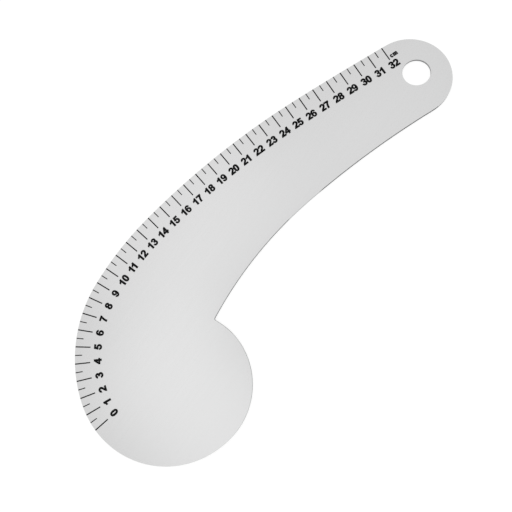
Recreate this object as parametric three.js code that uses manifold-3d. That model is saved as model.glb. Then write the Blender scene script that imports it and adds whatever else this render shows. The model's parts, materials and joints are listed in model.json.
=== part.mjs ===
// A curve ruler for pattern cutting: one blanked aluminium sheet with a centimetre scale etched along its
// convex edge and filled with black enamel. Millimetres and degrees. The ruler lies flat on its underside
// (z = 0), with the round head towards -X, the tip with the hang hole towards +X and the scale along +Y.
import * as THREE from "three";
import { mergeVertices } from "three/addons/utils/BufferGeometryUtils.js";
import Module from "manifold-3d";

const wasm = await Module();
wasm.setup();

// Sheet
const sheetThickness = 1.5;
const rimChamfer = 0.15; // the upper and lower rims of every edge are broken by this much
const facetSag = 0.008; // how far a facet may stand off its true arc

// Convex edge: round the head, up the heel and along to the tip, each arc tangent to the next
const headRadius = 41.4;
const heelRadius = 54.6;
const heelSweep = 111.65; // degrees
const hipRadius = 79.4;
const hipSweep = 53.45; // degrees
const waistRadius = 200;
const waistSweep = 14.65; // degrees
const seamRadius = 488;
const seamSweep = 14; // degrees
const shoulderRadius = 1780;
const shoulderSweep = 2.1; // degrees
const tipRadius = 25.8;
const tipSweep = 178.5; // degrees

// Concave edge: from the tip back into the notch beside the head
const armRadius = 545;
const armSweep = 9.95; // degrees
const bayRadius = 242.7;
const notchRadius = 1.1;

// Hang hole, placed from the centre of the tip's arc
const holeDiameter = 17;
const holeTowardsEnd = 5.2;
const holeTowardsBay = 2;

// Scale: whole centimetres on long lines, half centimetres on short ones
const centimetre = 10;
const centimetreCount = 32;
const trueLineInset = 1.7; // the centimetres are true along a line this far inside the edge
const zeroMarkSweep = 94.1; // degrees round the heel, from the end of the head's arc to the zero mark
const longLineLength = 9.6;
const longLineWidth = 0.74;
const shortLineLength = 4.6;
const shortLineWidth = 0.6;
const lineDepth = 0.12; // how deep a line is etched into the sheet
const enamelSink = 0.03; // how far the enamel stays below the face
const enamelClearance = 0.02; // between the enamel and the walls of its groove
const cutOverrun = 1;
const grooveFloor = sheetThickness - lineDepth;

const degree = Math.PI / 180;

// An arc starts at a point with a heading and turns left (1) or right (-1) through its sweep
function arcFrom(start, radius, sweep, turn) {
  const centre = new THREE.Vector2(
    start.x - turn * radius * Math.sin(start.heading),
    start.y + turn * radius * Math.cos(start.heading),
  );
  return { centre, radius, sweep, turn, heading: start.heading };
}

// The place and heading at an angle along an arc
function placeOn(arc, angle) {
  const heading = arc.heading + arc.turn * angle;
  return {
    x: arc.centre.x + arc.turn * arc.radius * Math.sin(heading),
    y: arc.centre.y - arc.turn * arc.radius * Math.cos(heading),
    heading,
  };
}

function endOf(arc) {
  return placeOn(arc, arc.sweep);
}

function turnedRound(place) {
  return { ...place, heading: place.heading + Math.PI };
}

// Points along an arc, its end left to the arc that follows
function pointsOn(arc) {
  const widestStep = 2 * Math.acos(1 - facetSag / arc.radius);
  const count = Math.ceil(arc.sweep / widestStep);
  return Array.from({ length: count }, (_, i) => {
    const place = placeOn(arc, (arc.sweep * i) / count);
    return new THREE.Vector2(place.x, place.y);
  });
}

// An angle brought between 0 and a full turn
function positive(angle) {
  const whole = 2 * Math.PI;
  return ((angle % whole) + whole) % whole;
}

// The sweep that brings an arc beside a point
function sweepTo(arc, point) {
  const heading = Math.atan2(
    arc.turn * (point.x - arc.centre.x),
    arc.turn * (arc.centre.y - point.y),
  );
  return positive(arc.turn * (heading - arc.heading));
}

// Centre of the fillet that touches the head's arc from outside and the bay's arc from inside
function filletCentre(head, bay) {
  const fromHead = headRadius + notchRadius;
  const fromBay = bayRadius - notchRadius;
  const between = bay.centre.clone().sub(head.centre);
  const apart = between.length();
  const along = (fromHead ** 2 - fromBay ** 2 + apart ** 2) / (2 * apart);
  const across = Math.sqrt(fromHead ** 2 - along ** 2);
  return new THREE.Vector2(along, across)
    .rotateAround(new THREE.Vector2(), between.angle())
    .add(head.centre);
}

// The closed outline of the blank, from the place where the head's arc ends and the heel begins.
// The bay and the head run on until the notch fillet touches both, which closes the outline.
function outlineFrom(start) {
  const edge = [];
  for (const [radius, sweep, turn] of [
    [heelRadius, heelSweep, -1],
    [hipRadius, hipSweep, -1],
    [waistRadius, waistSweep, -1],
    [seamRadius, seamSweep, -1],
    [shoulderRadius, shoulderSweep, -1],
    [tipRadius, tipSweep, -1],
    [armRadius, armSweep, 1],
  ]) {
    const from = edge.length ? endOf(edge[edge.length - 1]) : start;
    edge.push(arcFrom(from, radius, sweep * degree, turn));
  }
  const [heel, hip, waist, seam, shoulder, tip, arm] = edge;
  const bay = arcFrom(endOf(arm), bayRadius, 0, 1);
  const headBackwards = arcFrom(turnedRound(start), headRadius, 0, 1);
  const fillet = filletCentre(headBackwards, bay);
  bay.sweep = sweepTo(bay, fillet);
  headBackwards.sweep = sweepTo(headBackwards, fillet);

  const headStart = turnedRound(endOf(headBackwards));
  const bayEnd = endOf(bay);
  const notchSweep = positive(headStart.heading - bayEnd.heading);
  const notch = arcFrom(bayEnd, notchRadius, notchSweep, 1);
  const head = arcFrom(headStart, headRadius, headBackwards.sweep, -1);
  const arcs = [heel, hip, waist, seam, shoulder, tip, arm, bay, notch, head];
  return { arcs, head, tip, scaleArcs: [heel, hip, waist, seam, shoulder, tip] };
}

// The ruler lies along the line between the centres of its head and its tip, centred on its own box
function centredOutline() {
  const trial = outlineFrom({ x: 0, y: 0, heading: 0 });
  const slope = trial.tip.centre.clone().sub(trial.head.centre).angle();
  const level = outlineFrom({ x: 0, y: 0, heading: -slope });
  const box = new THREE.Box2().setFromPoints(level.arcs.flatMap(pointsOn));
  const middle = box.getCenter(new THREE.Vector2());
  return outlineFrom({ x: -middle.x, y: -middle.y, heading: -slope });
}
const outline = centredOutline();

// Solids: a closed geometry as a manifold, and back
function solidOf(geometry) {
  geometry.deleteAttribute("normal");
  geometry.deleteAttribute("uv");
  const merged = mergeVertices(geometry);
  return new wasm.Manifold(
    new wasm.Mesh({
      numProp: 3,
      vertProperties: merged.getAttribute("position").array,
      triVerts: new Uint32Array(merged.getIndex().array),
    }),
  );
}

function geometryOf(solid) {
  const mesh = solid.getMesh();
  const geometry = new THREE.BufferGeometry();
  const positions = new THREE.BufferAttribute(mesh.vertProperties, mesh.numProp);
  geometry.setAttribute("position", positions);
  geometry.setIndex(new THREE.BufferAttribute(mesh.triVerts, 1));
  geometry.computeVertexNormals();
  return geometry;
}

// The blank: outline and hang hole extruded to the sheet's thickness, every rim chamfered
function blankGeometry() {
  const shape = new THREE.Shape(outline.arcs.flatMap(pointsOn));
  const radius = holeDiameter / 2;
  const rightOfHole = {
    x: outline.tip.centre.x + holeTowardsEnd + radius,
    y: outline.tip.centre.y - holeTowardsBay,
    heading: Math.PI / 2,
  };
  shape.holes.push(new THREE.Path(pointsOn(arcFrom(rightOfHole, radius, 2 * Math.PI, 1))));
  const geometry = new THREE.ExtrudeGeometry(shape, {
    depth: sheetThickness - 2 * rimChamfer,
    bevelThickness: rimChamfer,
    bevelSize: rimChamfer,
    bevelOffset: -rimChamfer,
    bevelSegments: 1,
  });
  return geometry.translate(0, 0, rimChamfer);
}

// The cutter of a groove: a box on a mark, from past the edge to the line's inner end
function grooveGeometry(width, length) {
  const reach = length + cutOverrun;
  const height = lineDepth + cutOverrun;
  const box = new THREE.BoxGeometry(width, reach, height);
  return box.translate(0, reach / 2 - length, grooveFloor + height / 2);
}

// The enamel in a centimetre line: it lies on the groove's floor and runs out to the edge, where its end slopes
// with the chamfer and stays as far below it as the rest stays below the face
function enamelGeometry() {
  const width = longLineWidth - 2 * enamelClearance;
  const height = lineDepth - enamelSink;
  const innerEnd = longLineLength - enamelClearance;
  const side = new THREE.Shape([
    new THREE.Vector2(rimChamfer - height, 0),
    new THREE.Vector2(innerEnd, 0),
    new THREE.Vector2(innerEnd, height),
    new THREE.Vector2(rimChamfer, height),
  ]);
  const geometry = new THREE.ExtrudeGeometry(side, { depth: width, bevelEnabled: false });
  geometry.rotateX(Math.PI / 2).rotateZ(-Math.PI / 2);
  return geometry.translate(width / 2, 0, grooveFloor);
}

// The length of an arc along the true line
function trueLength(arc) {
  return (arc.radius + arc.turn * trueLineInset) * arc.sweep;
}

// The place on the edge at a distance along the true line, measured from the start of the heel
function placeAlong(distance) {
  let left = distance;
  for (const arc of outline.scaleArcs) {
    if (left <= trueLength(arc)) return placeOn(arc, (arc.sweep * left) / trueLength(arc));
    left -= trueLength(arc);
  }
  return endOf(outline.scaleArcs[outline.scaleArcs.length - 1]);
}

// A group on the edge at a number of centimetres, its X along the edge and its -Y square to it, inwards
function markGroup(centimetres) {
  const zeroDistance = (heelRadius - trueLineInset) * zeroMarkSweep * degree;
  const place = placeAlong(zeroDistance + centimetres * centimetre);
  const group = new THREE.Group();
  group.position.set(place.x, place.y, 0);
  group.rotation.z = place.heading;
  group.updateMatrix();
  return group;
}

const sheetMaterial = new THREE.MeshStandardMaterial({
  color: 0xd8d9da,
  metalness: 0.9,
  roughness: 0.42,
});
const enamelMaterial = new THREE.MeshStandardMaterial({
  color: 0x141414,
  metalness: 0,
  roughness: 0.5,
});

const ruler = new THREE.Group();

// Sheet with a groove for every line, long on the centimetres and short between them
let sheet = solidOf(blankGeometry());
for (let half = 0; half <= 2 * centimetreCount; half += 1) {
  const isLong = half % 2 === 0;
  const width = isLong ? longLineWidth : shortLineWidth;
  const length = isLong ? longLineLength : shortLineLength;
  const groove = grooveGeometry(width, length).applyMatrix4(markGroup(half / 2).matrix);
  sheet = sheet.subtract(solidOf(groove));
}
const sheetMesh = new THREE.Mesh(geometryOf(sheet), sheetMaterial);
sheetMesh.name = "ruler_sheet";
ruler.add(sheetMesh);

// Enamel in each centimetre line
for (let mark = 0; mark <= centimetreCount; mark += 1) {
  const line = new THREE.Mesh(enamelGeometry(), enamelMaterial);
  line.name = `cm_line_${String(mark).padStart(2, "0")}`;
  const group = markGroup(mark);
  group.add(line);
  ruler.add(group);
}

export default ruler;
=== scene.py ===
# %% [markdown]
# # A curve ruler in satin aluminium
#
# The real ruler is one blanked sheet of aluminium, 1.5 mm thick, with a centimetre scale along its
# convex edge. A pattern cutter swings that edge through armholes, hips and hems, and hangs the ruler
# up by the hole in its tip.
#
# The sheet and the enamel of the whole centimetres come from a fixed frame of true solids, in
# metres, and stay as they are. This lesson adds what the eye sees on them: the satin finish of the
# metal, the enamel of the half centimetres, the printed numbers and the light.

# %% Load the frame
import json
import math

import bmesh
import bpy
from mathutils import Matrix, Vector

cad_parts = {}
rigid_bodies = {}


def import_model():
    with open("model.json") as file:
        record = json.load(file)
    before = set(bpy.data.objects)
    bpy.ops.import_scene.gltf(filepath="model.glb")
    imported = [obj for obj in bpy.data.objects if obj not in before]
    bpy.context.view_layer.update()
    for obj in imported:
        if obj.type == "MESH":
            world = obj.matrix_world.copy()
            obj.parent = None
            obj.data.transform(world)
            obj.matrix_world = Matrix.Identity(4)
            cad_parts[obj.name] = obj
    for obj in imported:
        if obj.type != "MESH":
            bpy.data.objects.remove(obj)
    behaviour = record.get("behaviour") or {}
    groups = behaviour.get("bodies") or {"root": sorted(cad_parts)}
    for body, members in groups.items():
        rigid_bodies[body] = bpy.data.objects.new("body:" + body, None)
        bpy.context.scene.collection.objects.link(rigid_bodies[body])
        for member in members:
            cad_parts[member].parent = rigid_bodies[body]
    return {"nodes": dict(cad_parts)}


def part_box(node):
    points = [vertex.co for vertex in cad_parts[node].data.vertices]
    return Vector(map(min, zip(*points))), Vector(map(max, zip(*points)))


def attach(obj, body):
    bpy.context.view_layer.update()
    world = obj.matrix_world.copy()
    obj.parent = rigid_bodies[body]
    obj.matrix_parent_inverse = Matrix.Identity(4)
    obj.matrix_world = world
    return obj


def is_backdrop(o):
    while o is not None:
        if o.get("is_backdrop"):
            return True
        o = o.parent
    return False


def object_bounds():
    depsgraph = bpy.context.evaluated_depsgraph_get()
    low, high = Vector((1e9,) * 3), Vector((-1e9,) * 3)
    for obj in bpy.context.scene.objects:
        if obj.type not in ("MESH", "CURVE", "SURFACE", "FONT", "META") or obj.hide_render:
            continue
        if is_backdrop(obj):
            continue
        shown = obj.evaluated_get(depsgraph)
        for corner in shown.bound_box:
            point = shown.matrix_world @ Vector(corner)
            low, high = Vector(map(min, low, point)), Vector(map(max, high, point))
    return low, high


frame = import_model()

cad_lowest, cad_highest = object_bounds()
print("Frame:", len(frame["nodes"]), "solids, from", cad_lowest[:], "to", cad_highest[:])

# %% [markdown]
# ## Sizes
#
# A metre is large for a ruler, so sizes are written in millimetres and multiplied by `mm`. What the
# frame knows, such as the height of the printed face, is asked of the frame. What it can't tell is
# named once, in the cell that needs it first.

# %% Ask the frame for sizes
mm = 0.001
face_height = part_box("ruler_sheet")[1].z
enamel_lowest, enamel_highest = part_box("cm_line_00")
enamel_thickness = enamel_highest.z - enamel_lowest.z
print("Face at", round(face_height / mm, 3), "mm")
print("Enamel up to", round(enamel_highest.z / mm, 3), "mm")

# %% [markdown]
# ## Reading the scale
#
# The frame holds one bar of enamel for each centimetre. A bar tells where its mark is and which way
# is square to the edge, so the scale needs no list of places: the bars are measured. The corners of
# a bar fall into two groups of four, one at each end, and the middle of a group is that end of the
# bar.

# %% Measure the centimetre lines
weld_distance = 0.001 * mm
enamel_foot = 0.06 * mm  # from the edge to the foot of a bar, whose outer end slopes at 45 degrees


def bar_ends(node):
    """The two ends of a bar of enamel, each the middle of its four corners."""
    bar = bmesh.new()
    bar.from_mesh(frame["nodes"][node].data)
    bmesh.ops.remove_doubles(bar, verts=bar.verts, dist=weld_distance)
    corners = [corner.co.copy() for corner in bar.verts]
    bar.free()
    first = corners[0]
    corners.sort(key=lambda corner: (corner - first).length)
    half = len(corners) // 2
    near, far = corners[:half], corners[half:]
    return sum(near, Vector()) / half, sum(far, Vector()) / half


def read_marks():
    """For each centimetre, the place on the edge and the unit vector out of the sheet there."""
    names = sorted(name for name in frame["nodes"] if name.startswith("cm_line_"))
    ends = [bar_ends(name) for name in names]
    middles = [(a + b) / 2 for a, b in ends]
    marks = []
    for index, (a, b) in enumerate(ends):
        before = max(index - 1, 0)
        along = middles[before + 1] - middles[before]
        left_of_travel = Vector((-along.y, along.x, 0))
        outer, inner = (a, b) if (a - b).dot(left_of_travel) > 0 else (b, a)
        outward = (outer - inner).normalized()
        marks.append((outer + outward * (enamel_foot + enamel_thickness / 2), outward))
    return marks


marks = read_marks()
last_mark = len(marks) - 1
print("Marks 0 to", last_mark)

# %% [markdown]
# ## The line that the scale is true along
#
# On a curved edge the centimetres can be true along one line only, and here it runs a little inside
# the edge. A polygon through the marks would cut every corner, so a Bezier curve follows the line:
# one point for each centimetre, with handles along the edge. A handle a third as long as its stretch
# gives an arc of a circle, near enough. The curve's length is the test: it has to be 10 mm a mark.

# %% Draw the true line
centimetre = 10 * mm
true_line_inset = 1.7 * mm  # inside the edge
steps_per_centimetre = 24


def true_line_curve():
    """A Bezier curve through the marks, along the line on which they are a centimetre apart."""
    data = bpy.data.curves.new("true_line", "CURVE")
    data.dimensions = "3D"
    data.resolution_u = steps_per_centimetre
    spline = data.splines.new("BEZIER")
    spline.bezier_points.add(last_mark)
    for point, (edge, outward) in zip(spline.bezier_points, marks):
        handle = Vector((outward.y, -outward.x, 0)) * centimetre / 3
        point.handle_left_type = point.handle_right_type = "FREE"
        point.co = edge - outward * true_line_inset
        point.co.z = 0
        point.handle_left = point.co - handle
        point.handle_right = point.co + handle
    line = bpy.data.objects.new("true_line", data)
    bpy.context.scene.collection.objects.link(line)
    return line


true_line = true_line_curve()
true_line_length = true_line.data.splines[0].calc_length()
print("True line:", round(true_line_length / mm, 3), "mm for", last_mark, "centimetres")

# %% [markdown]
# ## Nodes as Python
#
# Node trees are easier to read as sums than as boxes and wires. `Value` wraps an output socket, so
# `1 - mask` adds a Math node. `Nodes.add` makes any node: its settings come first, then what goes
# into its sockets.

# %% Wrap sockets and trees
def plug(tree, socket, value):
    """Links a Value to a socket, or sets a plain number, colour or datablock on it."""
    if isinstance(value, Value):
        tree.links.new(value.socket, socket)
    else:
        socket.default_value = value


def operator(operation):
    """The methods for an operator and for its reflected form. Each adds a Math node."""
    return (
        lambda self, other: self.math(operation, self, other),
        lambda self, other: self.math(operation, other, self),
    )


class Value:
    """The output of a node, on which Python's operators work."""

    __add__, __radd__ = operator("ADD")
    __sub__, __rsub__ = operator("SUBTRACT")
    __mul__, __rmul__ = operator("MULTIPLY")
    __truediv__, __rtruediv__ = operator("DIVIDE")
    __mod__, __rmod__ = operator("MODULO")
    __gt__, __lt__ = operator("GREATER_THAN")

    def __init__(self, socket):
        self.socket = socket

    def beside(self, name):
        """Another output of the same node."""
        return Value(self.socket.node.outputs[name])

    def math(self, operation, *values):
        nodes = Nodes(self.socket.id_data)
        return nodes.add("ShaderNodeMath", {"operation": operation}, dict(enumerate(values)))


class Nodes:
    """A node tree, with one method that adds any node to it."""

    def __init__(self, tree):
        self.tree = tree

    def fill(self, node, inputs):
        """Sets or links sockets of a node. A list is for a socket that takes many links."""
        for name, value in inputs.items():
            for one in value if isinstance(value, list) else [value]:
                plug(self.tree, node.inputs[name], one)

    def add(self, kind, settings=None, inputs=None, output=0):
        node = self.tree.nodes.new(kind)
        for name, value in (settings or {}).items():
            setattr(node, name, value)
        self.fill(node, inputs or {})
        return Value(node.outputs[output]) if node.outputs else None


trial = bpy.data.node_groups.new("trial", "ShaderNodeTree")
mask = Nodes(trial).add("ShaderNodeValue")
print("1 - mask adds a Math node set to", (1 - mask).socket.node.operation)
bpy.data.node_groups.remove(trial)

# %% [markdown]
# ## Recipes for a finish
#
# A finish could be painted, but then it would be blurred close up. Here it is worked out at every
# point from a few recipes: even noise for tooth and clouds, noise drawn out into streaks for what
# rolling and sliding leave, a smooth step for a soft border, and colours mixed or scaled by these.

# %% Name the recipes
def new_material(name):
    """A material with its node tree, ready to be added to."""
    material = bpy.data.materials.new(name)
    material.use_nodes = True
    return material, Nodes(material.node_tree)


def even_noise(nodes, place, size, detail):
    """Noise with blotches of that size, and with finer ones for each step of detail."""
    return nodes.add("ShaderNodeTexNoise", inputs={
        "Vector": place, "Scale": 1 / size, "Detail": detail,
    })


def drawn_noise(nodes, place, length, width, turn, detail):
    """Noise drawn out into streaks of that length and width, turned by an angle about Z."""
    turned = nodes.add("ShaderNodeMapping", inputs={"Vector": place, "Rotation": (0, 0, turn)})
    drawn = nodes.add("ShaderNodeMapping", inputs={
        "Vector": turned, "Scale": (1 / length, 1 / width, 1 / width),
    })
    return nodes.add("ShaderNodeTexNoise", inputs={
        "Vector": drawn, "Scale": 1, "Detail": detail,
    })


def smooth_step(nodes, value, low, high):
    """0 below low, 1 above high and a smooth ramp between them."""
    return nodes.add("ShaderNodeMapRange", {"interpolation_type": "SMOOTHSTEP"}, {
        "Value": value, "From Min": low, "From Max": high,
    })


def mixed_colour(nodes, mask, first, second):
    """The first colour where the mask is 0 and the second where it is 1."""
    # Mix has a set of sockets for each kind of data. These are the ones for colours.
    return nodes.add("ShaderNodeMix", {"data_type": "RGBA"}, {0: mask, 6: first, 7: second}, 2)


def scaled_colour(nodes, colour, factor):
    """The colour made lighter or darker by a factor."""
    return nodes.add("ShaderNodeVectorMath", {"operation": "SCALE"}, {
        0: colour, "Scale": factor,
    })


recipes = (even_noise, drawn_noise, smooth_step, mixed_colour, scaled_colour)
print("Recipes:", ", ".join(recipe.__name__ for recipe in recipes))

# %% [markdown]
# ## The face of the metal
#
# The sheet is clear anodised: a matt, slightly milky aluminium, with no brushed grain to be seen
# from a step away. Close up it has the fine tooth of the etching bath, faint drawn lines from the
# rolling mill and the odd hairline from being slid over a table.
#
# The tooth is a bump, because it is deep enough to catch the light. The rest only shifts colour and
# roughness by a few hundredths, because a clean ruler shows no more.

# %% Mix the satin face
satin_grey = (0.591, 0.591, 0.592)
satin_roughness = 0.239
cloud_size = 55 * mm
cloud_tone = 0.035
cloud_roughness = 0.04
tooth_size = 0.16 * mm
tooth_height = 0.0016 * mm
tooth_tone = 0.06
tooth_roughness = 0.08
rolling_length = 60 * mm
rolling_width = 0.35 * mm
rolling_tone = 0.05
rolling_height_share = 0.3  # of the tooth's height
hairline_length = 24 * mm
hairline_width = 0.12 * mm
hairline_turns = (24, -38, 81)  # degrees
hairline_levels = (0.745, 0.79)  # of the noise, where a hairline begins and where it is full
hairline_tone = 0.05
hairline_roughness = -0.04
hairline_height_share = -0.6  # of the tooth's height


def satin_face(nodes, place):
    """The colour, roughness and height of the face."""
    cloud = even_noise(nodes, place, cloud_size, detail=2)
    tooth = even_noise(nodes, place, tooth_size, detail=3)
    rolling = drawn_noise(nodes, place, rolling_length, rolling_width, 0, detail=2)
    hairlines = 0
    for turn in hairline_turns:
        streaks = drawn_noise(
            nodes, place, hairline_length, hairline_width, math.radians(turn), detail=1
        )
        hairlines = hairlines + smooth_step(nodes, streaks, *hairline_levels)

    cloudy, toothed, rolled = cloud - 0.5, tooth - 0.5, rolling - 0.5
    tone = (
        1 + cloudy * cloud_tone + rolled * rolling_tone + toothed * tooth_tone
        + hairlines * hairline_tone
    )
    roughness = (
        satin_roughness + toothed * tooth_roughness + cloudy * cloud_roughness
        + hairlines * hairline_roughness
    )
    height = tooth + hairlines * hairline_height_share + rolling * rolling_height_share
    return scaled_colour(nodes, satin_grey, tone), roughness, height


print("Face: tooth of", round(tooth_size / mm, 2), "mm to clouds of", round(cloud_size / mm), "mm")

# %% [markdown]
# ## The cut edges and their painted shade
#
# Where the sheet was cut, the metal is another surface: sheared, rougher and somewhat darker, and
# its grey is darkened further by painted shade. The hang hole is bored, so its wall is cleaner and
# its painted shade lighter. Along the concave edge the painted shade is darkest, and there it
# reaches on to the narrow chamfer that breaks the rim, more so on the arm than in the bay. In its
# middle a stretch of this painted shade is lighter.
#
# These could be parts of their own, but the sheet is one solid. So a mask finds them by how flat a
# surface lies, which is 1 on the face, 0.7 on a chamfer and 0 on a wall, and by where it is.

# %% Mix the cut edges and their painted shade
# Greys of the cut walls: the sheared metal's own darker grey, pushed far darker still by painted
# shade.
sheared_and_shaded_grey = (0.05, 0.0505, 0.052, 1)
bored_and_shaded_grey = (0.22, 0.222, 0.226, 1)
darkest_shade_grey = (0.035, 0.0354, 0.0365, 1)
lighter_shade_grey = (0.4, 0.402, 0.406, 1)
grain_size = 0.09 * mm
grain_tone = 0.28
edge_roughness = 0.2  # more than the face's
wall_flatness = (0.2, 0.55)  # between these a surface goes from wall to face
rim_flatness = (0.75, 0.95)  # and between these from chamfer to face

hole_middle = Vector((133.5, -21.8, 0.75)) * mm
hole_reach = 9 * mm  # a wall nearer than this to the middle of the hang hole is its own
concave_start = -60.5 * mm  # the concave edge runs from the notch
concave_end = 122 * mm  # to the tip
concave_side = -3 * mm  # and lies on this side of the ruler's middle
# Where the painted shade along the concave edge is lighter, and how softly that stretch fades.
lighter_shade_start = 13.5 * mm
lighter_shade_end = 39 * mm
lighter_shade_fade = 1.5 * mm
bay_rim_shade_share = 0.5  # how much of the painted shade reaches on to the chamfer, before its lighter stretch
arm_rim_shade_share = 0.85  # and past it


def cut_edges_and_shade(nodes, place):
    """The colour of the cut metal, darkened by painted shade, and a mask: 1 where it shows, 0 on the
    face.
    """
    normal = nodes.add("ShaderNodeNewGeometry").beside("Normal")
    upwards = nodes.add("ShaderNodeSeparateXYZ", inputs={0: normal}).beside("Z")
    flatness = upwards.math("ABSOLUTE", upwards)
    x = nodes.add("ShaderNodeSeparateXYZ", inputs={0: place})
    concave = (x > concave_start) * (x < concave_end) * (x.beside("Y") < concave_side)
    past_start = smooth_step(nodes, x, lighter_shade_start - lighter_shade_fade, lighter_shade_start + lighter_shade_fade)
    past_end = smooth_step(nodes, x, lighter_shade_end - lighter_shade_fade, lighter_shade_end + lighter_shade_fade)
    lighter_shade = concave * past_start * (1 - past_end)
    darkest_shade = concave - lighter_shade
    from_hole = nodes.add("ShaderNodeVectorMath", {"operation": "DISTANCE"}, {
        0: place, 1: hole_middle,
    }).beside("Value")

    # Painted shade by place: lighter in the hang hole, darkest along the concave edge, lighter in
    # its middle stretch.
    colour = sheared_and_shaded_grey
    for mask, grey in (
        (from_hole < hole_reach, bored_and_shaded_grey),
        (lighter_shade, lighter_shade_grey),
        (darkest_shade, darkest_shade_grey),
    ):
        colour = mixed_colour(nodes, mask, colour, grey)
    grain = even_noise(nodes, place, grain_size, detail=3)
    colour = scaled_colour(nodes, colour, 1 + (grain - 0.5) * grain_tone)

    # The mask covers every wall, and along the concave edge also the chamfer, as a painted dark line
    # of shade.
    wall = 1 - smooth_step(nodes, flatness, *wall_flatness)
    rim_shade_share = bay_rim_shade_share + past_end * (arm_rim_shade_share - bay_rim_shade_share)
    rim = darkest_shade * (1 - smooth_step(nodes, flatness, *rim_flatness)) * rim_shade_share
    return colour, wall.math("MAXIMUM", wall, rim)


# Prints the length of the stretch where the painted shade of the concave edge is lighter.
print("Painted shade lighter over", round((lighter_shade_end - lighter_shade_start) / mm, 1), "mm")

# %% [markdown]
# ## Dressing the sheet
#
# The face and the cut edges meet in one material, because the frame's sheet keeps its own slots. The
# metal shader gets them through the mask: the colours mixed with the painted shade of the cut edges,
# and the roughness raised on the cut.

# %% Dress the sheet
def satin_aluminium():
    material, nodes = new_material("satin_aluminium")
    place = nodes.add("ShaderNodeTexCoord").beside("Object")
    face_colour, face_roughness, height = satin_face(nodes, place)
    # The cut edges bring their colour and their painted shade into the metal.
    edge_colour_and_shade, edge = cut_edges_and_shade(nodes, place)
    nodes.fill(nodes.tree.nodes["Principled BSDF"], {
        "Base Color": mixed_colour(nodes, edge, face_colour, edge_colour_and_shade),
        "Metallic": 1.0,
        "Roughness": face_roughness + edge * edge_roughness,
        "Normal": nodes.add("ShaderNodeBump", inputs={
            "Strength": 1.0, "Distance": tooth_height, "Height": height,
        }),
    })
    return material


aluminium = satin_aluminium()
for material_slot in frame["nodes"]["ruler_sheet"].material_slots:
    material_slot.material = aluminium
print("Metal nodes:", len(aluminium.node_tree.nodes))

# %% [markdown]
# ## The black
#
# The lines are filled with enamel that has shrunk a little below the face, and the numbers are
# printed with the same black. A pure black would look like a hole. Dried enamel is a soft black with
# a slight orange peel, so one fine noise shifts its tone, its roughness and its height together.

# %% Make the enamel
enamel_black = (0.004, 0.004, 0.0043)
enamel_roughness = 0.5
enamel_specular = 0.06
peel_size = 0.22 * mm
peel_height = 0.002 * mm
peel_tone = 0.8
peel_roughness = 0.2


def black_enamel():
    material, nodes = new_material("black_enamel")
    place = nodes.add("ShaderNodeTexCoord").beside("Object")
    peel = even_noise(nodes, place, peel_size, detail=2)
    nodes.fill(nodes.tree.nodes["Principled BSDF"], {
        "Base Color": scaled_colour(nodes, enamel_black, 1 + (peel - 0.5) * peel_tone),
        "Roughness": enamel_roughness + (peel - 0.5) * peel_roughness,
        "Specular IOR Level": enamel_specular,
        "Normal": nodes.add("ShaderNodeBump", inputs={
            "Strength": 1.0, "Distance": peel_height, "Height": peel,
        }),
    })
    return material


enamel = black_enamel()
for name, node in frame["nodes"].items():
    if name.startswith("cm_line_"):
        for material_slot in node.material_slots:
            material_slot.material = enamel
print("Enamel on", last_mark + 1, "centimetre lines")

# %% [markdown]
# ## Geometry Nodes as a tool
#
# Geometry Nodes run as a modifier. The modifier's inputs are set by each socket's identifier,
# because its name is only a label. The result is then taken as a plain mesh, and the modifier goes
# away again, so that what is kept is a solid and not a recipe. A closed solid has no open edges, and
# so they are counted each time.

# %% Build and run Geometry Nodes
def open_edges(mesh):
    """How many edges of a mesh don't join exactly two faces."""
    solid = bmesh.new()
    solid.from_mesh(mesh)
    count = sum(len(edge.link_faces) != 2 for edge in solid.edges)
    solid.free()
    return count


class GeometryNodes(Nodes):
    """A Geometry Nodes tree with named inputs, given as {name: (socket type, value)}."""

    def __init__(self, name, inputs):
        super().__init__(bpy.data.node_groups.new(name, "GeometryNodeTree"))
        face = self.tree.interface
        face.new_socket("Geometry", in_out="INPUT", socket_type="NodeSocketGeometry")
        face.new_socket("Geometry", in_out="OUTPUT", socket_type="NodeSocketGeometry")
        self.values = {}
        for title, (kind, value) in inputs.items():
            socket = face.new_socket(title, in_out="INPUT", socket_type="NodeSocket" + kind)
            self.values[socket.identifier] = value
        self.group_input = self.add("NodeGroupInput")

    def given(self, title):
        """A named input of the tree."""
        return self.group_input.beside(title)

    def finish(self, geometry, material):
        """Ends the tree: instances become real, and everything gets the material."""
        self.material = material
        real = self.add("GeometryNodeRealizeInstances", inputs={"Geometry": geometry})
        dressed = self.add("GeometryNodeSetMaterial", inputs={
            "Geometry": real, "Material": material,
        })
        self.add("NodeGroupOutput", inputs={"Geometry": dressed})

    def run(self, carrier, name):
        """The mesh that the tree makes of the carrier, as a new object at the origin."""
        modifier = carrier.modifiers.new(name, "NODES")
        modifier.node_group = self.tree
        for identifier, value in self.values.items():
            modifier[identifier] = value
        bpy.context.view_layer.update()
        evaluated = carrier.evaluated_get(bpy.context.evaluated_depsgraph_get())
        mesh = bpy.data.meshes.new_from_object(evaluated)
        carrier.modifiers.remove(modifier)
        mesh.name = name
        mesh.materials.clear()
        mesh.materials.append(self.material)
        mesh.polygons.foreach_set("material_index", [0] * len(mesh.polygons))
        piece = bpy.data.objects.new(name, mesh)
        bpy.context.scene.collection.objects.link(piece)
        print(name + ":", len(mesh.polygons), "faces,", open_edges(mesh), "open edges")
        return piece


# %% [markdown]
# ## The half centimetres
#
# Between two centimetres lies a short groove, etched in the sheet, and its enamel has to lie in it
# to a few hundredths of a millimetre. Thirty-two bars could be set down one by one, but they follow
# a rule, so Geometry Nodes do it: they cut the true line into equal steps of half a centimetre.
# Every second point is a half, and it gets a bar: a cube turned along the line, whose outer end is
# leant back to follow the broken rim of the sheet.

# %% Fill the half-centimetre grooves
half_line_width = 0.56 * mm
half_line_end = 4.58 * mm  # from the edge to the inner end of the enamel


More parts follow.
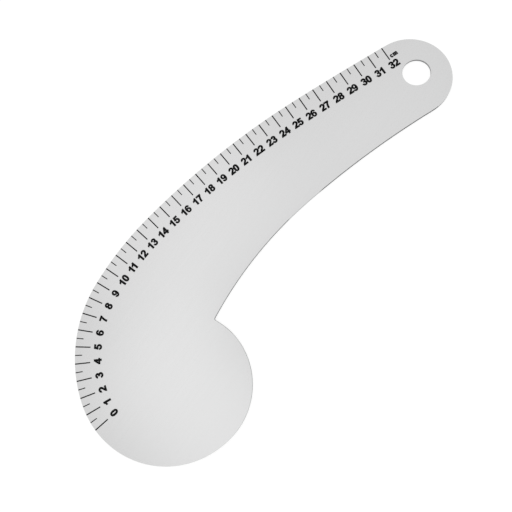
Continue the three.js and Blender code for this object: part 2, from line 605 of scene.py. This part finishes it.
def half_lines_tree():
    tree = GeometryNodes("half_centimetre_lines", {
        "Points": ("Int", 2 * last_mark + 1),
        "Bar Size": ("Vector", (half_line_width, half_line_end - enamel_foot, enamel_thickness)),
        "Bar Middle": ("Vector", (
            0,
            true_line_inset - (enamel_foot + half_line_end) / 2,
            (enamel_lowest.z + enamel_highest.z) / 2,
        )),
        "Slope": ("Vector", (0, -enamel_thickness, 0)),
    })
    points = tree.add("GeometryNodeCurveToPoints", {"mode": "COUNT"}, {
        "Curve": tree.given("Geometry"), "Count": tree.given("Points"),
    })
    index = tree.add("GeometryNodeInputIndex")
    cube = tree.add("GeometryNodeMeshCube", inputs={"Size": tree.given("Bar Size")})
    corner = tree.add("ShaderNodeSeparateXYZ", inputs={0: tree.add("GeometryNodeInputPosition")})
    sloped = tree.add("GeometryNodeSetPosition", inputs={
        "Geometry": cube,
        "Selection": (corner.beside("Y") > 0) * (corner.beside("Z") > 0),
        "Offset": tree.given("Slope"),
    })
    bar = tree.add("GeometryNodeTransform", inputs={
        "Geometry": sloped, "Translation": tree.given("Bar Middle"),
    })
    bars = tree.add("GeometryNodeInstanceOnPoints", inputs={
        "Points": points,
        "Selection": index % 2 > 0.5,
        "Instance": bar,
        "Rotation": tree.add("FunctionNodeAlignRotationToVector", {"axis": "X"}, {
            "Vector": points.beside("Tangent"),
        }),
    })
    tree.finish(bars, enamel)
    return tree


half_lines = half_lines_tree().run(true_line, "half_centimetre_lines")
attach(half_lines, "root")

# %% [markdown]
# ## A pen for digits
#
# The numbers are a plain bold grotesque, the kind that a drawing office has always used. A font file
# would bring its own shapes, and so each digit is drawn here from arcs and straight lines, in shares
# of its height.
#
# Three small functions are enough: `at` is a corner, `arc` a stretch of an oval between two angles
# in degrees, and `bend` a curve pulled towards a point.

# %% Make the pen
arc_step = 9  # degrees between the points of an arc
bend_steps = 8


def at(*points):
    return list(points)


def arc(centre, radii, start, end, squareness=2.0):
    """Points on an oval. Above 2, the squareness fills its corners out."""
    count = max(2, round(abs(end - start) / arc_step))
    points = []
    for i in range(count + 1):
        angle = math.radians(start + (end - start) * i / count)
        reach = [abs(part) ** (2 / squareness) for part in (math.cos(angle), math.sin(angle))]
        points.append((
            centre[0] + math.copysign(radii[0] * reach[0], math.cos(angle)),
            centre[1] + math.copysign(radii[1] * reach[1], math.sin(angle)),
        ))
    return points


def bend(start, pull, end):
    """Points on a curve from start to end that is pulled towards a point."""
    points = []
    for i in range(bend_steps + 1):
        t = i / bend_steps
        weights = (1 - t) ** 2, 2 * t * (1 - t), t ** 2
        points.append(tuple(
            sum(weight * point[axis] for weight, point in zip(weights, (start, pull, end)))
            for axis in (0, 1)
        ))
    return points


print("A full oval has", round(360 / arc_step), "sides")

# %% [markdown]
# ## The shape of a digit
#
# A digit is one outline or more. Outlines that lie inside another one are its counters, the holes of
# a 0 or an 8. The pen is nearly as wide in the bars as in the stems, and round strokes are the gap
# between two ovals. The 9 is the 6 turned upside down.

# %% Draw the digits
digit_width_share = 0.777


def half_turned(outline):
    """An outline turned upside down about the middle of its digit."""
    return [(digit_width_share - x, 1 - y) for x, y in outline]


six_shares = [
    arc((.395, .700), (.306, .315), 15, 90)
    + arc((.395, .500), (.337, .515), 90, 270, 2.2)
    + arc((.395, .315), (.321, .330), 270, 460)
    + bend((.250, .572), (.270, .855), (.402, .855))
    + arc((.402, .755), (.106, .100), 90, 8),
    arc((.393, .315), (.134, .182), 360, 9, 2.2),
]
digit_shares = {
    "0": [
        arc((.388, .500), (.318, .515), 0, 351, 2.3),
        arc((.388, .500), (.118, .352), 360, 9, 2.3),
    ],
    "1": [
        at((.568, 0), (.568, 1))
        + bend((.412, 1), (.345, .820), (.112, .752))
        + bend((.112, .577), (.270, .625), (.372, .722))
        + at((.372, 0)),
    ],
    "2": [
        at((.706, 0))
        + bend((.058, 0), (.095, .215), (.300, .395))
        + bend((.300, .395), (.512, .575), (.512, .708))
        + arc((.388, .708), (.124, .144), 0, 165)
        + arc((.388, .705), (.318, .310), 182, 0)
        + bend((.706, .705), (.706, .525), (.490, .340))
        + bend((.490, .340), (.375, .240), (.340, .180))
        + at((.706, .180)),
    ],
    "3": [
        arc((.388, .300), (.324, .317), 186, 411)
        + arc((.385, .740), (.300, .275), -42, 172)
        + arc((.385, .735), (.112, .117), 178, -72)
        + at((.335, .606), (.312, .445))
        + arc((.388, .300), (.134, .155), 97, -172),
    ],
    "4": [
        at((.434, 0), (.434, .205), (.030, .205), (.030, .368), (.458, 1), (.618, 1))
        + at((.618, .368), (.742, .368), (.742, .205), (.618, .205), (.618, 0)),
        at((.434, .368), (.206, .368), (.434, .710)),
    ],
    "5": [
        arc((.388, .325), (.328, .342), 190, 468)
        + at((.316, .820), (.672, .820), (.672, 1), (.178, 1), (.088, .478), (.248, .452))
        + arc((.388, .325), (.134, .187), 138, -168),
    ],
    "6": six_shares,
    "7": [
        at((.070, 1), (.070, .822))
        + bend((.490, .822), (.250, .480), (.226, 0))
        + bend((.416, 0), (.440, .520), (.706, .862))
        + at((.706, 1)),
    ],
    "8": [
        arc((.388, .296), (.324, .313), 129, 411) + arc((.388, .748), (.302, .267), -50, 230),
        arc((.388, .742), (.112, .116), 360, 9),
        arc((.388, .300), (.130, .160), 360, 9),
    ],
    "9": [half_turned(outline) for outline in six_shares],
}
print("Digits drawn:", " ".join(digit_shares))

# %% [markdown]
# ## Ink that spreads
#
# Ink runs a little past the edge of its stencil, which thickens every stroke and narrows the
# counters. Growing the finished film would make it higher as well, so the flat outlines are set off
# before they are filled. Each corner moves out by the normals of its two sides. Where that would
# turn a short side round, in a notch, a corner is left out first.

# %% Set off an outline
twin_distance_share = 0.012  # points nearer than this count as one


def sides(outline):
    """The sides of a closed outline, each as its two ends."""
    return zip(outline, outline[1:] + outline[:1])


def side_normals(outline):
    """For each side of a closed outline, the unit vector to its right."""
    normals = []
    for (x0, y0), (x1, y1) in sides(outline):
        length = math.hypot(x1 - x0, y1 - y0)
        normals.append(((y1 - y0) / length, (x0 - x1) / length))
    return normals


def dot(a, b):
    return a[0] * b[0] + a[1] * b[1]


def spread(outline, distance):
    """A closed outline whose sides are set off to their right."""
    normals = side_normals(outline)
    corners = list(zip(normals[-1:] + normals[:-1], normals))
    points = []
    for (x, y), (a, b) in zip(outline, corners):
        reach = distance / (1 + dot(a, b))
        points.append((x + (a[0] + b[0]) * reach, y + (a[1] + b[1]) * reach))
    for i, normal in enumerate(side_normals(points)):
        if dot(normal, normals[i]) < 0:
            ends = (i, (i + 1) % len(outline))
            flatter = max(ends, key=lambda end: dot(*corners[end]))
            return spread(outline[:flatter] + outline[flatter + 1:], distance)
    return points


def without_twins(outline):
    """The outline without points that all but coincide."""
    kept = []
    for point in outline:
        if not kept or math.dist(point, kept[-1]) > twin_distance_share:
            kept.append(point)
    while math.dist(kept[0], kept[-1]) < twin_distance_share:
        kept.pop()
    return kept


def signed_area(outline):
    """Above zero where the outline runs round to the left."""
    return sum(x0 * y1 - x1 * y0 for (x0, y0), (x1, y1) in sides(outline)) / 2


def lies_inside(point, outline):
    """Whether a line from the point to its right crosses the outline an odd number of times."""
    x, y = point
    crossings = 0
    for (x0, y0), (x1, y1) in sides(outline):
        if (y0 > y) != (y1 > y):
            crossings += x < x0 + (x1 - x0) * (y - y0) / (y1 - y0)
    return crossings % 2 == 1


print("Area of a 1, in shares:", round(abs(signed_area(digit_shares["1"][0])), 3))

# %% [markdown]
# ## Ink with a thickness
#
# Print is a film, not a picture: a hundredth or two of a millimetre of ink stand on the metal and
# end in a crisp edge. A picture of it would blur close up, and a real film doesn't. The outlines
# become flat curves, and one small tree fills them, lifts a copy of the face to the ink's thickness,
# turns the lower face over and welds the two, which gives a closed solid.

# %% Turn outlines into ink
ink_sunk = 0.010 * mm  # keyed into the anodising
ink_proud = 0.015 * mm
ink_spread = 0.24 * mm  # past the edge of the stencil
numeral_height = 4.5 * mm


def outline_curve(name, outlines, height, middle):
    """Flat closed curves for a sign of that height. Its middle, in shares, is at the origin."""
    data = bpy.data.curves.new(name, "CURVE")
    data.dimensions = "2D"
    data.fill_mode = "NONE"
    for outline in outlines:
        points = without_twins(outline)
        is_counter = any(
            lies_inside(points[0], other) for other in outlines if other is not outline
        )
        runs_left_round = signed_area(points) > 0
        away_from_ink = 1 if runs_left_round != is_counter else -1
        points = spread(points, away_from_ink * ink_spread / height)
        spline = data.splines.new("POLY")
        spline.points.add(len(points) - 1)
        spline.use_cyclic_u = True
        for point, (x, y) in zip(spline.points, points):
            point.co = ((x - middle[0]) * height, (y - middle[1]) * height, 0, 1)
    curve = bpy.data.objects.new(name, data)
    bpy.context.scene.collection.objects.link(curve)
    return curve


def ink_tree():
    tree = GeometryNodes("ink_film", {
        "Sunk": ("Float", ink_sunk),
        "Thickness": ("Float", ink_sunk + ink_proud),
        "Weld": ("Float", weld_distance),
    })
    flat = tree.add("GeometryNodeFillCurve", {"mode": "TRIANGLES"}, {
        "Curve": tree.given("Geometry"),
    })
    lower = tree.add("GeometryNodeTransform", inputs={
        "Geometry": flat,
        "Translation": tree.add("ShaderNodeCombineXYZ", inputs={"Z": 0 - tree.given("Sunk")}),
    })
    upper = tree.add("GeometryNodeExtrudeMesh", {"mode": "FACES"}, {
        "Mesh": lower,
        "Offset": tree.add("ShaderNodeCombineXYZ", inputs={"Z": tree.given("Thickness")}),
        "Offset Scale": 1.0,
        "Individual": False,
    })
    both = tree.add("GeometryNodeJoinGeometry", inputs={
        "Geometry": [upper, tree.add("GeometryNodeFlipFaces", inputs={"Mesh": lower})],
    })
    solid = tree.add("GeometryNodeMergeByDistance", inputs={
        "Geometry": both, "Distance": tree.given("Weld"),
    })
    tree.finish(solid, enamel)
    return tree


ink_film = ink_tree()


def ink_solid(name, outlines, height, middle):
    """A sign as a film of ink on a face at the origin."""
    curve = outline_curve(name + "_outline", outlines, height, middle)
    solid = ink_film.run(curve, name)
    bpy.data.objects.remove(curve)
    return solid


digits = bpy.data.collections.new("digits")
for digit, outlines in digit_shares.items():
    solid = ink_solid("digit_" + digit, outlines, numeral_height, (digit_width_share / 2, 0.5))
    bpy.context.scene.collection.objects.unlink(solid)
    digits.objects.link(solid)

# %% [markdown]
# ## A film laid not quite true
#
# The numbers come from a printing film that was not laid on quite true. In the middle of the scale a
# number sits all but on its line. Towards both ends it runs ahead of it, and towards the tip it also
# leans and comes nearer to the edge. Thirty-three places by hand would hide that rule, so two small
# formulas give it. Their `reach` is -1 at mark 0, 0 in the middle and 1 at the last mark, and the
# drift is a sum of its powers.

# %% Say how the numbers drift
numeral_depth = 14.03 * mm  # from the edge to the middle of a number, at the middle of the scale
numeral_rise = 0.86 * mm  # nearer to the edge than that at the last mark, by the cube of the reach
numeral_slope = -0.07 * mm  # and by the reach itself
numeral_lead = 0.17 * mm  # ahead of its line at the middle of the scale
numeral_drift = 0.155 * mm  # and more than that at the last mark, by the reach
numeral_late_lead = 0.47 * mm  # and more than that at both ends, by the square of the reach
numeral_lean = math.radians(1.1)  # at the last mark, by the reach and again by its square
row_lean = math.radians(-0.4)
drift_inputs = {
    "Depth": ("Float", numeral_depth - true_line_inset),
    "Face": ("Float", face_height),
    "Rise": ("Float", numeral_rise),
    "Slope": ("Float", numeral_slope),
    "Lead": ("Float", numeral_lead),
    "Drift": ("Float", numeral_drift),
    "Late Lead": ("Float", numeral_late_lead),
    "Lean": ("Float", numeral_lean),
    "Row Lean": ("Float", row_lean),
}


def number_middle(tree, reach):
    """Where the middle of a number lies, seen from its point on the true line."""
    squared = reach * reach
    return tree.add("ShaderNodeCombineXYZ", inputs={
        "X": tree.given("Lead") + reach * tree.given("Drift") + squared * tree.given("Late Lead"),
        "Y": reach * (tree.given("Slope") + squared * tree.given("Rise")) - tree.given("Depth"),
        "Z": tree.given("Face"),
    })


def number_lean(tree, reach):
    """How a number is turned against its line."""
    return tree.add("FunctionNodeAxisAngleToRotation", inputs={
        "Axis": (0, 0, 1),
        "Angle": (reach + reach * reach) * tree.given("Lean") + tree.given("Row Lean"),
    })


farthest_lead = numeral_lead + numeral_drift + numeral_late_lead
print("The last number stands", round(farthest_lead / mm, 2), "mm ahead of its line")

# %% [markdown]
# ## Numbering the scale
#
# The numbers stand in a row along the scale, their feet towards the middle of the sheet. Each is one
# or two digits, and two rows of instances do it: one for every last digit, and the other for the
# first digits from 10 on. `Index` counts the points, and it is the number itself. Its remainder by
# ten picks the last digit, and what is left picks the first.

# %% Print the numbers
numeral_pitch = 3.32 * mm  # between the middles of the two digits of a number
numeral_stretch = 1.02  # the digits are that much wider than drawn
eleven_tuck = 0.45 * mm  # the two ones of 11 stand closer


def digit_row(tree, points, along, lean, shown, digit, place):
    """A digit on each point where it is shown, at a place seen from there."""
    shapes = tree.add("GeometryNodeCollectionInfo", inputs={
        "Collection": tree.given("Digits"), "Separate Children": True, "Reset Children": True,
    })
    offset = tree.add("FunctionNodeRotateVector", inputs={"Vector": place, "Rotation": along})
    return tree.add("GeometryNodeInstanceOnPoints", inputs={
        "Points": tree.add("GeometryNodeSetPosition", inputs={
            "Geometry": points, "Offset": offset,
        }),
        "Selection": shown,
        "Instance": shapes,
        "Pick Instance": True,
        "Instance Index": digit,
        "Scale": tree.given("Stretch"),
        "Rotation": tree.add("FunctionNodeRotateRotation", inputs={
            "Rotation": along, "Rotate By": lean,
        }),
    })


def numbers_tree():
    tree = GeometryNodes("numbers", {
        "Marks": ("Int", last_mark + 1),
        "Digits": ("Collection", digits),
        "Pitch": ("Float", numeral_pitch),
        "Stretch": ("Vector", (numeral_stretch, 1, 1)),
        "Eleven Tuck": ("Float", eleven_tuck),
        **drift_inputs,
    })
    points = tree.add("GeometryNodeCurveToPoints", {"mode": "COUNT"}, {
        "Curve": tree.given("Geometry"), "Count": tree.given("Marks"),
    })
    along = tree.add("FunctionNodeAlignRotationToVector", {"axis": "X"}, {
        "Vector": points.beside("Tangent"),
    })
    number = tree.add("GeometryNodeInputIndex")
    reach = number / (last_mark / 2) - 1
    middle = number_middle(tree, reach)
    lean = number_lean(tree, reach)
    has_two_digits = number > 9.5  # whole numbers are told apart half-way
    is_eleven = (number > 10.5) * (number < 11.5)
    pitch = (tree.given("Pitch") - is_eleven * tree.given("Eleven Tuck")) * has_two_digits
    last_digit = number % 10
    first_digit = (number - last_digit) / 10
    rows = []
    for shown, digit, side in (
        (True, last_digit, 0.5),
        (has_two_digits, first_digit, -0.5),
    ):
        in_number = tree.add("FunctionNodeRotateVector", inputs={
            "Vector": tree.add("ShaderNodeCombineXYZ", inputs={"X": pitch * side}),
            "Rotation": lean,
        })
        place = tree.add("ShaderNodeVectorMath", {"operation": "ADD"}, {
            0: middle, 1: in_number,
        })
        rows.append(digit_row(tree, points, along, lean, shown, digit, place))
    tree.finish(tree.add("GeometryNodeJoinGeometry", inputs={"Geometry": rows}), enamel)
    return tree


numbers = numbers_tree().run(true_line, "numbers")
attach(numbers, "root")
for solid in list(digits.objects):
    bpy.data.objects.remove(solid)
bpy.data.objects.remove(true_line)

# %% [markdown]
# ## The unit
#
# Past the last mark the scale says what it counts. One small sign needs no rule, so it is set down
# on its own: its first point goes to a place measured from the last mark, along the edge and into
# the sheet. The place goes into its mesh, and the object stays at the origin.

# %% Print the unit
unit_sign_height = 2.75 * mm
unit_sign_lead = 1.64 * mm
unit_sign_depth = 8.98 * mm
unit_sign_lean = math.radians(4.7)
unit_sign_shares = [
    arc((.330, .360), (.300, .375), 38, 322) + arc((.330, .360), (.130, .235), 310, 50),
    at((.810, 0), (.810, .720), (.970, .720), (.970, .640))
    + bend((.970, .640), (1.050, .735), (1.150, .735))
    + bend((1.150, .735), (1.280, .735), (1.325, .625))
    + bend((1.325, .625), (1.410, .735), (1.530, .735))
    + bend((1.530, .735), (1.730, .735), (1.730, .500))
    + at((1.730, 0), (1.560, 0))
    + bend((1.560, .450), (1.560, .595), (1.470, .595))
    + bend((1.470, .595), (1.355, .595), (1.355, .420))
    + at((1.355, 0), (1.185, 0))
    + bend((1.185, .450), (1.185, .595), (1.095, .595))
    + bend((1.095, .595), (.980, .595), (.980, .420))
    + at((.980, 0)),
]

edge_point, outward = marks[-1]
towards_tip = Vector((outward.y, -outward.x, 0))
unit_sign = ink_solid("unit_sign", unit_sign_shares, unit_sign_height, (0, 0))
unit_sign_place = edge_point + towards_tip * unit_sign_lead - outward * unit_sign_depth
unit_sign_place.z = face_height
unit_sign_angle = math.atan2(towards_tip.y, towards_tip.x) + unit_sign_lean
unit_sign.data.transform(
    Matrix.Translation(unit_sign_place) @ Matrix.Rotation(unit_sign_angle, 4, "Z")
)
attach(unit_sign, "root")

# %% [markdown]
# ## The room
#
# Metal has hardly a colour of its own: it shows what stands around it. The ruler was photographed on
# white, so the world is plain white, and the floor takes the ruler's faint shadow. More light would
# whiten the ruler together with the floor. So part of the floor's white is a glow of its own, which
# only the camera, mirrors and glass see, and which lights nothing.

# %% Build the room
white = (1, 1, 1, 1)
world_strength = 1.0
floor_drop = 0.2 * mm
floor_reach = 4.0
floor_colour = (0.30, 0.30, 0.30, 1)
floor_glow = 0.76


def white_world():
    world = bpy.data.worlds.new("studio")
    world.use_nodes = True
    Nodes(world.node_tree).fill(world.node_tree.nodes["Background"], {
        "Color": white, "Strength": world_strength,
    })
    bpy.context.scene.world = world


def floor_material():
    material, nodes = new_material("white_floor")
    nodes.tree.nodes.remove(nodes.tree.nodes["Principled BSDF"])
    rays = nodes.add("ShaderNodeLightPath")
    seen = rays.math("MAXIMUM", rays.beside("Is Camera Ray"), rays.beside("Is Glossy Ray"))
    seen = seen.math("MAXIMUM", seen, rays.beside("Is Transmission Ray"))
    matt = nodes.add("ShaderNodeBsdfDiffuse", inputs={"Color": floor_colour})
    glow = nodes.add("ShaderNodeEmission", inputs={"Color": white, "Strength": seen * floor_glow})
    nodes.fill(nodes.tree.nodes["Material Output"], {
        "Surface": nodes.add("ShaderNodeAddShader", inputs={0: matt, 1: glow}),
    })
    return material


def floor():
    mesh = bpy.data.meshes.new("floor")
    corners = [
        (x * floor_reach, y * floor_reach, -floor_drop)
        for x, y in ((-1, -1), (1, -1), (1, 1), (-1, 1))
    ]
    mesh.from_pydata(corners, [], [(0, 1, 2, 3)])
    mesh.materials.append(floor_material())
    stage = bpy.data.objects.new("floor", mesh)
    bpy.context.scene.collection.objects.link(stage)
    stage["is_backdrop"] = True


white_world()
floor()
bpy.context.scene.view_settings.view_transform = "Standard"
print("Floor", round(floor_drop / mm, 2), "mm under the ruler")

# %% [markdown]
# ## The lamps
#
# In the picture soft lights lie in the satin face as a pale bloom: one over the round head, one
# across the arm and a small one towards the middle of the scale. Metal shows a lamp only where it
# mirrors it to the camera, and that decides where each lamp hangs. A lamp could be given its power,
# but here it is told how bright its face is, because that is what the metal shows, and the power
# follows.

# %% Hang the lamps
lamp_target = Vector((-0.1, -0.02, 0))
lamp_distance = 3.0
lamps = {  # direction, sides, brightness of its face, turn about the direction in radians
    "head_lamp": (Vector((-0.224, 0.110, 0.968)), (1.26, 0.85), 0.402, 1.38),
    "arm_lamp": (Vector((0.228, 0.268, 0.936)), (2.85, 0.93), 0.192, -0.47),
    "edge_lamp": (Vector((0.085, 0.304, 0.949)), (1.10, 0.64), 0.128, 0.29),
}


def soft_lamp(name, direction, sides_of_face, brightness, turn):
    """A rectangular lamp that faces the ruler from a direction."""
    data = bpy.data.lights.new(name, "AREA")
    data.shape = "RECTANGLE"
    data.size, data.size_y = sides_of_face
    data.energy = brightness * math.pi * data.size * data.size_y
    lamp = bpy.data.objects.new(name, data)
    direction = direction.normalized()
    length_way = Vector((math.cos(turn), math.sin(turn), 0))
    length_way = (length_way - direction * length_way.dot(direction)).normalized()
    turned = Matrix((length_way, direction.cross(length_way), direction)).transposed()
    place = Matrix.Translation(lamp_target + direction * lamp_distance)
    lamp.matrix_world = place @ turned.to_4x4()
    bpy.context.scene.collection.objects.link(lamp)
    print(name, "power:", round(data.energy, 2), "W")


for name, facts in lamps.items():
    soft_lamp(name, *facts)

# %% [markdown]
# ## The camera
#
# The camera looks almost straight down from thirty centimetres, as a hand would hold it. It could be
# turned by eye until the picture fits, but a ruler can be measured: its outline in the picture gives
# the camera's place, and the two directions that the picture's right and top side point in.

# %% Place the camera
camera_place = Vector((-37.886, -69.635, 292.144)) * mm
camera_right = Vector((0.59583, -0.79443, -0.11777))
camera_up = Vector((0.79966, 0.57327, 0.17865))
sensor_width = 36.0  # millimetres, as Blender counts it
lens_share = 500 / 512  # focal length over the picture's width
nearest_seen = 10 * mm


def photo_camera():
    data = bpy.data.cameras.new("camera")
    data.sensor_fit = "HORIZONTAL"
    data.sensor_width = sensor_width
    data.lens = sensor_width * lens_share
    data.clip_start = nearest_seen
    camera = bpy.data.objects.new("camera", data)
    back = camera_right.cross(camera_up).normalized()
    up = back.cross(camera_right).normalized()
    turned = Matrix((up.cross(back), up, back)).transposed()
    camera.matrix_world = Matrix.Translation(camera_place) @ turned.to_4x4()
    bpy.context.scene.collection.objects.link(camera)
    bpy.context.scene.camera = camera
    return camera


camera = photo_camera()
print("Lens:", round(camera.data.lens, 2), "mm")

# %% Measure and finish
seen_lowest, seen_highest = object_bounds()
boxes = {
    "cad": [list(cad_lowest), list(cad_highest)],
    "visual": [list(seen_lowest), list(seen_highest)],
}
largest = max(abs(a - b) for one, other in zip(*boxes.values()) for a, b in zip(one, other))
print("Largest difference:", round(largest / mm, 3), "mm")
